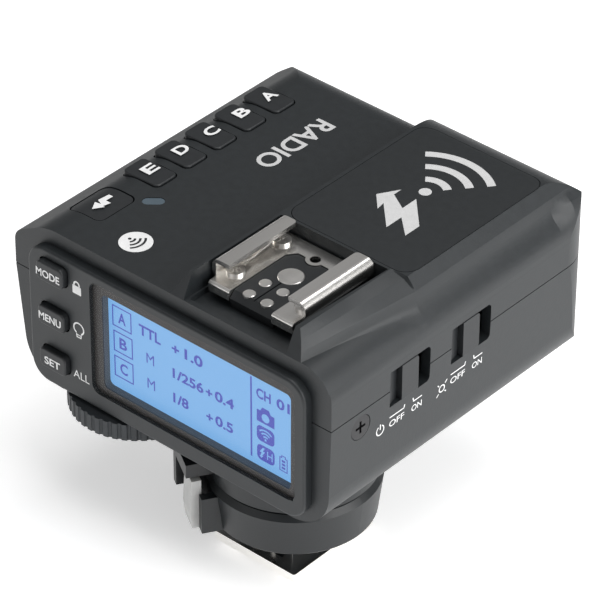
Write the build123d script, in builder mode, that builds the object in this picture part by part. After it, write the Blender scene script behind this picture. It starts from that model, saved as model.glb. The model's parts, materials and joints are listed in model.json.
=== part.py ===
from build123d import *
import os
from math import cos, radians, sin

# A wireless flash trigger for a camera's hot shoe, in millimetres.
# The origin is the middle of the foot's underside, on the lock ring's axis.
# +X is the switch side, +Y is forward (away from the display), +Z is up.

# ---- Housing ----
body_left = -49.7
body_right = 21.74
body_rear = -15.7
body_front = 54.3
body_top = 53.0
body_bottom = 20.2
seam_height = 42.2
left_draft = 2.4          # how far the left wall comes in at the bottom
right_draft = 0.64
wall = 2.0
edge_slope_run = 7.5      # the sloped edge that carries the group keys
edge_slope_drop = 4.1
seam_groove = 0.18         # width and depth of the line between the shells
front_round = 8.0
bottom_round = 8.2
shoulder_round = 6.0
plan_round = 8.5

# ---- Raised hump that carries the shoe and the name panel ----
hump_top = 57.6
hump_left = -11.2
hump_foot_left = -13.6
cheek_right = 12.9        # top edge of the cheek beside the shoe
cheek_foot_right = 15.1
hump_right = body_right - 5.14
hump_roof = 2.2
cove_front = body_front - 10.3
panel_rear = 9.0
panel_front = body_front - 8.7
panel_left = -10.4
panel_thickness = 0.8
panel_round = 3.0

# ---- Hot shoe (ISO 518 sizes) ----
shoe_inner_width = 18.8
shoe_opening = 13.0
shoe_height = 2.4
sheet = 0.8
shoe_rear = -9.0
shoe_front = 8.0
shoe_base_top = 55.2
shoe_tail = 2.1           # base plate behind the rails
contact_diameter = 4.6
signal_diameter = 2.2
signal_spacing_x = 3.9
signal_rows = (-5.15, -9.1)
contact_y = -1.0
shoe_gap = 0.4
pin_hole_y = 5.07
window_half = 4.65        # half the width of the window in the base plate
tab_radius = 1.7          # tab around the pin hole
pin_hole_radius = 0.95
screw_places = [(x, y) for x in (-7.6, 7.6) for y in (-6.2, 5.4)]
trough_left = -10.2
trough_right = 11.0
trough_rear = -14.7
trough_front = -8.0
trough_depth = 1.1

# ---- Rear fascia and display ----
fascia_left = body_left + 4.7
fascia_right = body_right - 4.19
fascia_bottom = 21.9
fascia_top = 50.0
fascia_raise = 1.8
fascia_round = 4.0
fascia_plug = 1.2         # step from the fascia's edge to its plug
plug_round = 1.2
lens_left = fascia_left + 14.5
lens_right = fascia_right - 2.15
lens_bottom = 25.3
lens_top = 48.4
lens_thickness = 0.8
mask_left = lens_left + 2.1
mask_right = lens_right - 1.5
mask_bottom = 26.7
mask_top = 46.2
mask_thickness = 0.2
lcd_depth = 2.3           # glass face of the display below the fascia's face
lcd_thickness = 1.6
backlight_thickness = 2.0

# ---- Keys ----
key_gap = 0.25
key_travel = 0.5
rear_key_x = fascia_left + 6.2
rear_key_width = 6.2
rear_key_height = 3.9
rear_key_z = {"mode": 46.2, "menu": 37.0, "set": 27.9}
rear_key_raise = 1.2
group_key_right = body_left + 13.7
group_key_left = body_left + 5.4
group_key_width = 5.3
group_key_first = 5.2
group_key_last = body_front - 13.2   # front edge of the last key
group_key_count = 5
group_key_pitch = (group_key_last - group_key_width - group_key_first) / (group_key_count - 1)
group_key_raise = 0.4
test_key_left = body_left + 5.7
test_key_right = body_left + 13.3
test_key_rear = -8.5
test_key_front = 0.5
led_x = body_left + 15.85
led_y = 2.0
led_length = 4.0
led_width = 2.1
led_angle = 41.0

# ---- Side slide switches ----
slot_starts = {"power": -1.0, "lamp": 14.75}
slot_length = 10.2
slot_bottom = 38.8
slot_height = 7.2
knob_length = 7.0
scoop_length = 2.75
slot_round = 0.9
knob_round = 0.6
knob_raise = 0.12
slide_gap = 0.1
side_screw_y = -8.26
side_screw_z = 38.94
side_screw_diameter = 4.6

# ---- Select dial ----
dial_x = body_left + 19.7
dial_y = -6.6
dial_radius = 12.5
dial_bottom = 18.0
dial_thickness = 3.3
dial_teeth = 46
dial_gap = 0.5
spindle_radius = 2.0
spindle_length = 4.6
encoder_size = 10.0
encoder_height = 2.4

# ---- Foot, collar and lock ring ----
foot_width = 18.5
foot_length = 21.0
foot_thickness = 2.0
neck = 12.4
collar_radius = 14.9
ring_bottom = 6.7
ring_top = 15.6
ring_bottom_radius = 14.5
ring_top_radius = 15.4
ring_bore = 11.0
clamp_thickness = 1.2
lever_angle = 238.0
lever_half = 2.2
lever_reach = 18.9
lever_top = 17.0
lever_pin_r = 16.9
lever_pin_z = 10.2
lug_root = 13.6
lug_reach = 17.6
guard_reach = 19.6
pin_projection = 0.6

# ---- Case screws ----
boss_radius = 2.6
boss_y = body_front - 7.1
boss_places = [(body_left + 11.2, boss_y), (body_right - 9.24, boss_y)]

# ---- Batteries and their door ----
cell_diameter = 14.5
cell_length = 49.3
cell_pitch = cell_diameter + 1.1
cradle_wall = 1.4
cradle_to_boss = 1.35
cell_y = boss_y - boss_radius - cradle_to_boss - cradle_wall - cell_diameter / 2 - cell_pitch
cell_z = 33.5
cell_start = body_left + 5.5
door_rear = cell_y - cell_diameter / 2 - 1.35
door_front = cell_y + cell_pitch + cell_diameter / 2 + 1.35
door_bottom = cell_z - cell_diameter / 2 - 0.65
door_top = cell_z + cell_diameter / 2 + 0.55
door_gap = 0.3
hinge_radius = 1.0
hinge_depth = 1.15        # hinge axis in from the left wall's face

# ---- Screws and sockets ----
screw_radius = 0.9
screw_head_radius = 1.8
screw_head_depth = 2.4
side_head_depth = 0.9
foot_screw_circle = 9.4
neck_tube_radius = 6.0
jack_y = -5.6
usb_y = 4.2
socket_z = 33.0
jack_radius = 2.5
usb_width = 9.2
usb_height = 3.4
lamp_x = -16.0
lamp_z = 35.0
lamp_width = 22.0
lamp_height = 9.0

# ---- Boards ----
board_z = 44.6
board_thickness = 1.6
board_left = body_left + 3.7
board_right = body_right - 4.74
board_rear = -9.4
board_front = body_front - 4.8
switch_size = 3.0

os.makedirs("parts", exist_ok=True)


def section_at(y):
    """Plane across the body at y: local x is X and local y is Z."""
    return Plane.XZ.offset(-y)


def wall_plane(x):
    """Plane facing +X at x: local x is Y and local y is Z."""
    return Plane.YZ.offset(x)


def body_block(inset=0.0):
    """The housing without its hump, moved in by inset on every side."""
    with BuildPart() as block:
        with BuildSketch(section_at(body_rear + inset)) as section:
            with BuildLine():
                Polyline(
                    (body_left + edge_slope_run, body_top),
                    (body_left, body_top - edge_slope_drop),
                    (body_left, seam_height),
                    (body_left + left_draft, body_bottom),
                    (body_right - right_draft, body_bottom),
                    (body_right, seam_height),
                    (body_right, body_top),
                    close=True,
                )
            make_face()
            fillet(section.vertices().group_by(Axis.Y)[0], bottom_round)
            fillet(section.vertices().group_by(Axis.Y)[-1].sort_by(Axis.X)[-1], shoulder_round)
            fillet(section.vertices().group_by(Axis.Y)[-1].sort_by(Axis.X)[0], 10)
            slope_end = body_top - edge_slope_drop
            fillet(section.vertices().filter_by_position(Axis.Y, slope_end - 0.01, slope_end + 0.01), 3)
            if inset:
                offset(amount=-inset, kind=Kind.INTERSECTION)
        extrude(amount=-(body_front - body_rear - 2 * inset))
        with BuildSketch() as plan:
            with BuildLine():
                Polyline(
                    (body_left + inset, body_rear),
                    (body_right - inset, body_rear),
                    (body_right - inset, body_front - inset),
                    (body_left + inset, body_front - inset),
                    close=True,
                )
            make_face()
            fillet(plan.vertices().group_by(Axis.Y)[-1], plan_round - inset)
        extrude(amount=hump_top + 5, mode=Mode.INTERSECT)
        with BuildSketch(wall_plane(body_left - 1)) as profile:
            with BuildLine():
                Polyline(
                    (body_rear, body_bottom + inset),
                    (body_front - inset, body_bottom + inset),
                    (body_front - inset, body_top - inset),
                    (body_rear, body_top - inset),
                    close=True,
                )
            make_face()
            fillet(profile.vertices().group_by(Axis.X)[-1], front_round - inset)
        extrude(amount=body_right - body_left + 2, mode=Mode.INTERSECT)
    return block.part


def hump_section(y, crest, cove):
    """One cross-section of the hump: flat top, sloped left side, and on the right two bevels down the
    points of crest, then a curve through the points of cove down to the side wall."""
    edge = crest[-1]
    root = body_top - 6
    with BuildSketch(section_at(y)) as section:
        with BuildLine():
            flank = Spline(edge, *cove, (body_right - 0.01, root + 1), tangents=[(0.45, -1), (0, -1)])
            Polyline(
                flank @ 1,
                (body_right - 0.01, root),
                (hump_foot_left, root),
                (hump_foot_left, body_top),
                (hump_left, hump_top),
                *crest,
            )
        make_face()
    return section.sketch.faces()[0]


def hump_block():
    """The raised hump: ruled sections from the rear rim, past the shoe, to the front wall."""
    bevel_edge = (hump_right + 1.8, hump_top - 2.1)
    rear_crest = [
        (cheek_right, hump_top),
        ((cheek_right + cheek_foot_right) / 2, (hump_top + body_top) / 2),
        (cheek_foot_right, body_top),
    ]
    cheek_crest = [(cheek_right + 0.3, hump_top), (hump_right - 0.6, hump_top - 0.6), bevel_edge]
    panel_crest = [(hump_right, hump_top), (hump_right + 0.9, hump_top - 1.05), bevel_edge]
    rear_scoop = [(body_right - 3.14, body_top - 0.9), (body_right - 0.94, body_top - 3.1)]
    scoop = [(body_right - 2.59, body_top - 0.3), (body_right - 1.04, body_top - 2.1)]
    filled = [(body_right - 1.74, body_top + 0.8), (body_right - 0.54, body_top - 1.4)]
    with BuildPart() as hump:
        sections = [
            hump_section(body_rear, rear_crest, rear_scoop),
            hump_section(panel_rear - 0.3, cheek_crest, scoop),
            hump_section(panel_rear, panel_crest, scoop),
            hump_section(cove_front, panel_crest, scoop),
            hump_section(cove_front + 4, panel_crest, filled),
            hump_section(body_front, panel_crest, filled),
        ]
        loft(sections, ruled=True)
        with BuildSketch() as plan:
            with BuildLine():
                Polyline(
                    (body_left, body_rear),
                    (body_right, body_rear),
                    (body_right, body_front),
                    (body_left, body_front),
                    close=True,
                )
            make_face()
            fillet(plan.vertices().group_by(Axis.Y)[-1], plan_round)
        extrude(amount=hump_top + 5, mode=Mode.INTERSECT)
        with BuildSketch(wall_plane(hump_foot_left - 1)) as profile:
            with BuildLine():
                Polyline(
                    (body_rear, body_top - 7),
                    (body_front, body_top - 7),
                    (body_front, hump_top),
                    (body_rear + 2.3, hump_top),
                    (body_rear, body_top),
                    close=True,
                )
            make_face()
            fillet(profile.vertices().group_by(Axis.X)[-1].sort_by(Axis.Y)[-1], 11)
        extrude(amount=body_right - hump_foot_left + 2, mode=Mode.INTERSECT)
    return hump.part


def seam_ring():
    """The fine groove that runs round the housing between its two shells."""
    with BuildPart() as ring:
        with BuildSketch(Plane.XY.offset(seam_height - seam_groove / 2)):
            with Locations(((body_left + body_right) / 2, (body_rear + body_front) / 2)):
                Rectangle(body_right - body_left + 4, body_front - body_rear + 4)
        extrude(amount=seam_groove)
        add(body_block(seam_groove), mode=Mode.SUBTRACT)
    return ring.part


# ---------------------------------------------------------------- housing
cavity_top = body_top - wall
with BuildPart() as housing:
    add(body_block())
    add(hump_block())
    add(body_block(wall), mode=Mode.SUBTRACT)
    # hollow under the name panel
    with BuildSketch(Plane.XY.offset(cavity_top - 1)):
        with Locations(((hump_left + hump_right) / 2 + 0.2, (panel_rear + cove_front) / 2 + 1.5)):
            RectangleRounded(hump_right - hump_left - 4.6, cove_front - panel_rear - 6, 2)
    extrude(amount=hump_top - hump_roof - cavity_top + 1, mode=Mode.SUBTRACT)
    # deck that the shoe stands on, open at the rear
    with BuildSketch(Plane.XY.offset(body_top)):
        with BuildLine():
            Polyline(
                (-shoe_inner_width / 2 - sheet - shoe_gap, body_rear - 1),
                (cheek_right - 1.1, body_rear - 1),
                (cheek_right, panel_rear - 0.6),
                (-shoe_inner_width / 2 - sheet - shoe_gap, panel_rear - 0.6),
                close=True,
            )
        make_face()
    extrude(amount=10, mode=Mode.SUBTRACT)
    # trough between the shoe and the rear rim
    with BuildSketch(Plane.XY.offset(body_top - trough_depth)):
        with Locations(((trough_left + trough_right) / 2, (trough_rear + trough_front) / 2)):
            RectangleRounded(trough_right - trough_left, trough_front - trough_rear, 0.4)
    extrude(amount=trough_depth + 1, mode=Mode.SUBTRACT)
    add(seam_ring(), mode=Mode.SUBTRACT)
    # seat of the name panel
    with BuildSketch(Plane.XY.offset(hump_top - panel_thickness)):
        with Locations(((panel_left + hump_right) / 2, (panel_rear + panel_front) / 2)):
            RectangleRounded(hump_right - panel_left + 0.1, panel_front - panel_rear + 0.1, panel_round)
    extrude(amount=5, mode=Mode.SUBTRACT)
    # rear opening behind the fascia
    with BuildSketch(section_at(body_rear - 1)):
        with Locations(((fascia_left + fascia_right) / 2, (fascia_bottom + fascia_top) / 2)):
            RectangleRounded(
                fascia_right - fascia_left - 2 * fascia_plug,
                fascia_top - fascia_bottom - 2 * fascia_plug,
                plug_round,
            )
    extrude(amount=-(wall + 2), mode=Mode.SUBTRACT)
    # slots of the slide switches
    for slot_start in slot_starts.values():
        with BuildSketch(wall_plane(body_right - wall - 1)) as slot:
            with Locations((slot_start + slot_length / 2, slot_bottom + slot_height / 2)):
                Rectangle(slot_length, slot_height)
            fillet(slot.vertices().group_by(Axis.X)[-1], slot_round)
        extrude(amount=wall + 3, mode=Mode.SUBTRACT)
    # group keys
    for number in range(group_key_count):
        with BuildSketch(Plane.XY.offset(cavity_top - 6)):
            with Locations(
                (
                    (group_key_left + group_key_right) / 2,
                    group_key_first + number * group_key_pitch + group_key_width / 2,
                )
            ):
                RectangleRounded(
                    group_key_right - group_key_left + 2 * key_gap, group_key_width + 2 * key_gap, 1.3
                )
        extrude(amount=12, mode=Mode.SUBTRACT)
    # test key
    with BuildSketch(Plane.XY.offset(cavity_top - 6)):
        with Locations(((test_key_left + test_key_right) / 2, (test_key_rear + test_key_front) / 2)):
            RectangleRounded(
                test_key_right - test_key_left + 2 * key_gap, test_key_front - test_key_rear + 2 * key_gap, 1.6
            )
    extrude(amount=12, mode=Mode.SUBTRACT)
    # status light
    with BuildSketch(Plane.XY.offset(cavity_top - 1)):
        with Locations((led_x, led_y)):
            SlotOverall(led_length, led_width, rotation=led_angle)
    extrude(amount=4, mode=Mode.SUBTRACT)
    # opening of the shoe's contact block
    with BuildSketch(Plane.XY.offset(cavity_top - 1)):
        with Locations((0, (shoe_rear + contact_y) / 2 + 1)):
            Rectangle(9.4, 13.4)
    extrude(amount=4, mode=Mode.SUBTRACT)
    # holes of the shoe screws
    with Locations([(*place, body_top) for place in screw_places]):
        Hole(0.9, depth=wall + 0.5)

seam = Plane((0, 0, seam_height), z_dir=(0, 0, 1))
with BuildPart() as upper_shell:
    add(housing.part)
    split(bisect_by=seam, keep=Keep.TOP)
    # bosses that the case screws bite into
    with BuildSketch(Plane.XY.offset(seam_height + 0.2)):
        with Locations(boss_places):
            Circle(boss_radius)
            Circle(screw_radius, mode=Mode.SUBTRACT)
    extrude(until=Until.NEXT)
upper_shell.part.label = "upper_shell"
export_step(upper_shell.part, "parts/upper_shell.step")


def door_outline(gap):
    """Prism through the left wall in the shape of the battery opening, made smaller by gap."""
    with BuildPart() as prism:
        with BuildSketch(wall_plane(body_left - 2)):
            with Locations(((door_rear + door_front) / 2, (door_bottom + door_top) / 2)):
                Rectangle(door_front - door_rear - 2 * gap, door_top - door_bottom - 2 * gap)
        extrude(amount=wall + left_draft + 4)
    return prism.part


dial_place = (dial_x, dial_y)
with BuildPart() as lower_shell:
    add(housing.part)
    split(bisect_by=seam, keep=Keep.BOTTOM)
    # floor raised over the select dial
    with BuildSketch(Plane.XY.offset(body_bottom + wall - 0.3)):
        with Locations(dial_place):
            Rectangle(2 * dial_radius + 3, 2 * (dial_y - body_rear))
    extrude(amount=dial_bottom + dial_thickness + dial_gap + 1.2 - (body_bottom + wall - 0.3))
    # tubes for the case screws
    with BuildSketch(Plane.XY.offset(body_bottom + 1)):
        with Locations(boss_places):
            Circle(boss_radius)
    extrude(amount=seam_height - 0.2 - body_bottom - 1)
    # pocket of the dial, scalloping the rear edge
    with BuildSketch(Plane.XY.offset(body_bottom - 5)):
        with Locations(dial_place):
            Circle(dial_radius + dial_gap)
    extrude(amount=dial_bottom + dial_thickness + dial_gap - body_bottom + 5, mode=Mode.SUBTRACT)
    with Locations((dial_x, dial_y, body_bottom + wall + 3)):
        Hole(spindle_radius + 0.2, depth=6)
    # case screw holes, with their heads sunk from below
    with BuildSketch(Plane.XY.offset(body_bottom - 1)):
        with Locations(boss_places):
            Circle(screw_head_radius + 0.2)
    extrude(amount=screw_head_depth + 1, mode=Mode.SUBTRACT)
    with BuildSketch(Plane.XY.offset(body_bottom)):
        with Locations(boss_places):
            Circle(screw_radius + 0.15)
    extrude(amount=seam_height, mode=Mode.SUBTRACT)
    # battery opening
    add(door_outline(0), mode=Mode.SUBTRACT)
    # hole for the neck of the foot
    with BuildSketch(Plane.XY.offset(body_bottom - 1)):
        Circle(neck_tube_radius + 0.05)
        with PolarLocations(foot_screw_circle, 4, start_angle=45):
            Circle(screw_radius)
    extrude(amount=wall + 2, mode=Mode.SUBTRACT)
    # side screw
    with BuildSketch(wall_plane(body_right - wall - 1)):
        with Locations((side_screw_y, side_screw_z)):
            Circle(screw_radius + 0.1)
    extrude(amount=wall + 2, mode=Mode.SUBTRACT)
    with BuildSketch(wall_plane(body_right - side_head_depth - 0.2)):
        with Locations((side_screw_y, side_screw_z)):
            Circle(side_screw_diameter / 2 + 0.1)
    extrude(amount=2, mode=Mode.SUBTRACT)
    # sockets on the left wall
    with BuildSketch(wall_plane(body_left - 1)):
        with Locations((jack_y, socket_z)):
            Circle(jack_radius + 0.05)
        with Locations((usb_y, socket_z)):
            SlotOverall(usb_width + 0.1, usb_height + 0.1)
    extrude(amount=wall + left_draft + 2, mode=Mode.SUBTRACT)
    # focus-assist window in the front wall
    with BuildSketch(section_at(body_front - wall - 1)):
        with Locations((lamp_x, lamp_z)):
            RectangleRounded(lamp_width + 0.1, lamp_height + 0.1, 2)
    extrude(amount=-(wall + 2), mode=Mode.SUBTRACT)
lower_shell.part.label = "lower_shell"
export_step(lower_shell.part, "parts/lower_shell.step")

with BuildPart() as name_panel:
    with BuildSketch(Plane.XY.offset(hump_top - panel_thickness)):
        with Locations(((panel_left + hump_right) / 2, (panel_rear + panel_front) / 2)):
            RectangleRounded(hump_right - panel_left - 0.1, panel_front - panel_rear - 0.1, panel_round)
    extrude(amount=panel_thickness)
    add(hump_block(), mode=Mode.INTERSECT)
name_panel.part.label = "name_panel"
export_step(name_panel.part, "parts/name_panel.step")

# ---------------------------------------------------------------- fascia and display
fascia_face = body_rear - fascia_raise
fascia_centre = ((fascia_left + fascia_right) / 2, (fascia_bottom + fascia_top) / 2)
lens_centre = ((lens_left + lens_right) / 2, (lens_bottom + lens_top) / 2)
lens_size = (lens_right - lens_left, lens_top - lens_bottom)
mask_centre = ((mask_left + mask_right) / 2, (mask_bottom + mask_top) / 2)
mask_size = (mask_right - mask_left, mask_top - mask_bottom)
lens_corner = 1.8
well_wall = 1.2
with BuildPart() as rear_fascia:
    with BuildSketch(section_at(fascia_face)):
        with Locations(fascia_centre):
            RectangleRounded(fascia_right - fascia_left, fascia_top - fascia_bottom, fascia_round)
    extrude(amount=-fascia_raise)
    fillet(rear_fascia.faces().sort_by(Axis.Y)[0].edges(), 0.5)
    with BuildSketch(section_at(body_rear)):
        with Locations(fascia_centre):
            RectangleRounded(
                fascia_right - fascia_left - 2 * fascia_plug - 0.1,
                fascia_top - fascia_bottom - 2 * fascia_plug - 0.1,
                plug_round,
            )
    extrude(amount=-wall)
    # seat of the lens and its mask, then the well of the display
    with BuildSketch(section_at(fascia_face - 1)):
        with Locations(lens_centre):
            RectangleRounded(lens_size[0] + 0.1, lens_size[1] + 0.1, lens_corner)
    extrude(amount=-(lens_thickness + mask_thickness + 1), mode=Mode.SUBTRACT)
    with BuildSketch(section_at(fascia_face)):
        with Locations(mask_centre):
            Rectangle(mask_size[0] + 2 * well_wall, mask_size[1] + 2 * well_wall)
    extrude(amount=-(fascia_raise + wall + 1), mode=Mode.SUBTRACT)
    # key holes
    with BuildSketch(section_at(fascia_face - 1)):
        with Locations([(rear_key_x, height) for height in rear_key_z.values()]):
            RectangleRounded(rear_key_width + 2 * key_gap, rear_key_height + 2 * key_gap, 1.0 + key_gap)
    extrude(amount=-(fascia_raise + wall + 2), mode=Mode.SUBTRACT)
    # scallop over the select dial
    with BuildSketch(Plane.XY.offset(body_bottom - 5)):
        with Locations(dial_place):
            Circle(dial_radius + dial_gap)
    extrude(amount=dial_bottom + dial_thickness + dial_gap - body_bottom + 5, mode=Mode.SUBTRACT)
rear_fascia.part.label = "rear_fascia"
export_step(rear_fascia.part, "parts/rear_fascia.step")

with BuildPart() as display_lens:
    with BuildSketch(section_at(fascia_face)):
        with Locations(lens_centre):
            RectangleRounded(*lens_size, lens_corner)
    extrude(amount=-lens_thickness)
display_lens.part.label = "display_lens"
export_step(display_lens.part, "parts/display_lens.step")

with BuildPart() as lens_mask:
    with BuildSketch(section_at(fascia_face + lens_thickness)):
        with Locations(lens_centre):
            RectangleRounded(*lens_size, lens_corner)
        with Locations(mask_centre):
            RectangleRounded(*mask_size, 1.0, mode=Mode.SUBTRACT)
    extrude(amount=-mask_thickness)
lens_mask.part.label = "lens_mask"
export_step(lens_mask.part, "parts/lens_mask.step")

well_start = fascia_face + lens_thickness + mask_thickness
with BuildPart() as display_well:
    with BuildSketch(section_at(well_start)):
        with Locations(mask_centre):
            Rectangle(mask_size[0] + 2 * well_wall - 0.1, mask_size[1] + 2 * well_wall - 0.1)
            RectangleRounded(*mask_size, 1.0, mode=Mode.SUBTRACT)
    extrude(amount=-(fascia_face + lcd_depth - well_start))
display_well.part.label = "display_well"
export_step(display_well.part, "parts/display_well.step")

lcd_size = (mask_size[0] + 2 * well_wall - 0.3, mask_size[1] + 2 * well_wall - 0.3)
with BuildPart() as lcd_panel:
    with BuildSketch(section_at(fascia_face + lcd_depth)):
        with Locations(mask_centre):
            Rectangle(*lcd_size)
    extrude(amount=-lcd_thickness)
lcd_panel.part.label = "lcd_panel"
export_step(lcd_panel.part, "parts/lcd_panel.step")

with BuildPart() as backlight:
    with BuildSketch(section_at(fascia_face + lcd_depth + lcd_thickness)):
        with Locations(mask_centre):
            Rectangle(*lcd_size)
    extrude(amount=-backlight_thickness)
backlight.part.label = "backlight"
export_step(backlight.part, "parts/backlight.step")

# ---------------------------------------------------------------- keys
key_flange = 0.8
key_foot = body_rear + wall + 0.2
for name, height in rear_key_z.items():
    with BuildPart() as rear_key:
        with BuildSketch(section_at(fascia_face - rear_key_raise)):
            with Locations((rear_key_x, height)):
                RectangleRounded(rear_key_width, rear_key_height, 1.0)
        extrude(amount=-(key_foot + key_flange - fascia_face + rear_key_raise))
        fillet(rear_key.faces().sort_by(Axis.Y)[0].edges(), 0.35)
        with BuildSketch(section_at(key_foot)):
            with Locations((rear_key_x, height)):
                Rectangle(rear_key_width + 1.6, rear_key_height + 1.6)
        extrude(amount=-key_flange)
    rear_key.part.label = f"{name}_key"
    export_step(rear_key.part, f"parts/{name}_key.step")

group_key_names = ["e", "d", "c", "b", "a"]
flange_top = cavity_top - 0.2
for number, name in enumerate(group_key_names):
    key_y = group_key_first + number * group_key_pitch + group_key_width / 2
    key_x = (group_key_left + group_key_right) / 2
    with BuildPart() as group_key:
        with BuildSketch(Plane.XY.offset(cavity_top - 5)):
            with Locations((key_x, key_y)):
                RectangleRounded(group_key_right - group_key_left, group_key_width, 1.0)
        extrude(amount=8)
        with BuildSketch(section_at(key_y - group_key_width)):
            with BuildLine():
                Polyline(
                    (group_key_right + 1, body_top + group_key_raise),
                    (group_key_left, body_top + group_key_raise - 0.35),
                    (group_key_left - 1, body_top - 2),
                    (group_key_left - 1, flange_top - 3.2),
                    (group_key_right + 1, flange_top - 0.9),
                    close=True,
                )
            make_face()
        extrude(amount=-2 * group_key_width, mode=Mode.INTERSECT)
        fillet(group_key.edges().group_by(Axis.Z)[-1], 0.25)
    group_key.part.label = f"group_key_{name}"
    export_step(group_key.part, f"parts/group_key_{name}.step")

with BuildPart() as test_key:
    with BuildSketch(Plane.XY.offset(cavity_top - 3)):
        with Locations(((test_key_left + test_key_right) / 2, (test_key_rear + test_key_front) / 2)):
            RectangleRounded(test_key_right - test_key_left, test_key_front - test_key_rear, 1.4)
    extrude(amount=8)
    add(body_block(0.1), mode=Mode.INTERSECT)
test_key.part.label = "test_key"
export_step(test_key.part, "parts/test_key.step")

with BuildPart() as status_light:
    with BuildSketch(Plane.XY.offset(cavity_top - 0.5)):
        with Locations((led_x, led_y)):
            SlotOverall(led_length - 0.1, led_width - 0.1, rotation=led_angle)
    extrude(amount=wall + 0.4)
status_light.part.label = "status_light"
export_step(status_light.part, "parts/status_light.step")

# ---------------------------------------------------------------- hot shoe
def shoe_window(gap):
    """Outline of the window in the shoe's base plate, made smaller by gap."""
    half = window_half - gap
    start = shoe_rear - shoe_tail - 1
    with BuildSketch() as window:
        with BuildLine():
            Polyline(
                (-half, start),
                (-half, pin_hole_y - 2.2 - gap),
                (-half + 1.3, pin_hole_y - 0.5 - gap),
                (half - 1.3, pin_hole_y - 0.5 - gap),
                (half, pin_hole_y - 2.2 - gap),
                (half, start),
                close=True,
            )
        make_face()
        with Locations((0, pin_hole_y)):
            Circle(tab_radius + gap, mode=Mode.SUBTRACT)
    return window.sketch


rail_half = shoe_inner_width / 2 + sheet
rail_top = shoe_base_top + shoe_height + sheet
with BuildPart() as shoe_bracket:
    with BuildSketch(section_at(shoe_rear)):
        with BuildLine():
            Polyline(
                (-shoe_opening / 2, rail_top),
                (-rail_half, rail_top),
                (-rail_half, shoe_base_top - sheet),
                (rail_half, shoe_base_top - sheet),
                (rail_half, rail_top),
                (shoe_opening / 2, rail_top),
                (shoe_opening / 2, rail_top - sheet),
                (rail_half - sheet, rail_top - sheet),
                (rail_half - sheet, shoe_base_top),
                (-rail_half + sheet, shoe_base_top),
                (-rail_half + sheet, rail_top - sheet),
                (-shoe_opening / 2, rail_top - sheet),
                close=True,
            )
        make_face()
    extrude(amount=-(shoe_front - shoe_rear))
    rail_corners = shoe_bracket.edges().filter_by(Axis.Y)
    fillet(rail_corners.filter_by(lambda edge: abs(edge.center().X) > rail_half - 0.01), 1.5)
    fillet(
        shoe_bracket.edges()
        .filter_by(Axis.Z)
        .filter_by(lambda edge: abs(edge.center().X) < shoe_opening / 2 + 0.01 and edge.center().Y > 0),
        0.8,
    )
    # tail of the base, folded down behind
    with BuildSketch(Plane.XY.offset(shoe_base_top - sheet)):
        with Locations((0, shoe_rear - shoe_tail / 2)):
            Rectangle(2 * rail_half - 1.2 - sheet, shoe_tail)
    extrude(amount=sheet)
    with BuildSketch(Plane.XY.offset(shoe_base_top - 1.9)):
        with Locations((0, shoe_rear - shoe_tail + sheet / 2)):
            Rectangle(2 * rail_half - 1.2 - sheet, sheet)
    extrude(amount=1.9)
    fillet(
        shoe_bracket.edges()
        .filter_by(Axis.X)
        .filter_by(lambda edge: edge.center().Z > shoe_base_top - 0.01)
        .filter_by(lambda edge: edge.center().Y < shoe_rear - shoe_tail + 0.01),
        0.5,
    )
    # window around the contact block, with the tab hole for a locking pin
    with BuildSketch(Plane.XY.offset(shoe_base_top - 3)):
        add(shoe_window(0))
        with Locations((0, pin_hole_y)):
            Circle(pin_hole_radius)
        with Locations((window_half + 1.45, shoe_rear + 2.7)):
            Rectangle(0.4, 1.3)
    extrude(amount=4, mode=Mode.SUBTRACT)
    # screw holes
    with Locations([(*place, shoe_base_top) for place in screw_places]):
        Hole(1.05, depth=2)
shoe_bracket.part.label = "shoe_bracket"
export_step(shoe_bracket.part, "parts/shoe_bracket.step")

block_top = shoe_base_top - 0.2
signal_x = signal_spacing_x / 2
block_places = [(0, contact_y)] + [(x, y) for y in signal_rows for x in (-signal_x, signal_x)]
with BuildPart() as contact_block:
    # foot that the bracket sits on
    with BuildSketch(Plane.XY.offset(body_top)):
        with Locations((0, (shoe_front + shoe_rear) / 2)):
            Rectangle(2 * rail_half - 1.0, shoe_front - shoe_rear - 0.4)
    extrude(amount=shoe_base_top - sheet - body_top)
    with BuildSketch(Plane.XY.offset(body_top)):
        add(shoe_window(0.1))
        with Locations((0, shoe_rear - shoe_tail - 1)):
            Rectangle(3 * window_half, 2.2, mode=Mode.SUBTRACT)
    extrude(amount=block_top - body_top)
    chamfer(contact_block.faces().sort_by(Axis.Z)[-1].edges().sort_by(Axis.Y)[0], 1.2)
    # stem through the top of the housing
    with BuildSketch(Plane.XY.offset(cavity_top - 0.6)):
        with Locations((0, (shoe_rear + contact_y) / 2 + 1)):
            Rectangle(9.2, 13.2)
    extrude(amount=wall + 0.6)
    for place in block_places:
        bore = contact_diameter if place[0] == 0 else signal_diameter
        with Locations((*place, block_top)):
            Hole(bore / 2 + 0.02, depth=10)
    with Locations((0, pin_hole_y, block_top)):
        Hole(1.3, depth=10)
    with Locations([(*place, block_top) for place in screw_places]):
        Hole(0.95, depth=10)
    # groove between the two pairs of signal contacts
    with BuildSketch(Plane.XY.offset(block_top - 0.3)):
        with Locations((0, (shoe_rear - shoe_tail + contact_y) / 2 - 1.2)):
            Rectangle(0.3, contact_y - shoe_rear + shoe_tail - 2.4)
    extrude(amount=1, mode=Mode.SUBTRACT)
contact_block.part.label = "contact_block"
export_step(contact_block.part, "parts/contact_block.step")

with BuildPart() as centre_contact:
    with BuildSketch(Plane.XY.offset(cavity_top - 1.5)):
        with Locations(block_places[0]):
            Circle(contact_diameter / 2)
    extrude(amount=block_top + 0.1 - cavity_top + 1.5)
    chamfer(centre_contact.edges().group_by(Axis.Z)[-1], 0.12)
centre_contact.part.label = "centre_contact"
export_step(centre_contact.part, "parts/centre_contact.step")

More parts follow.
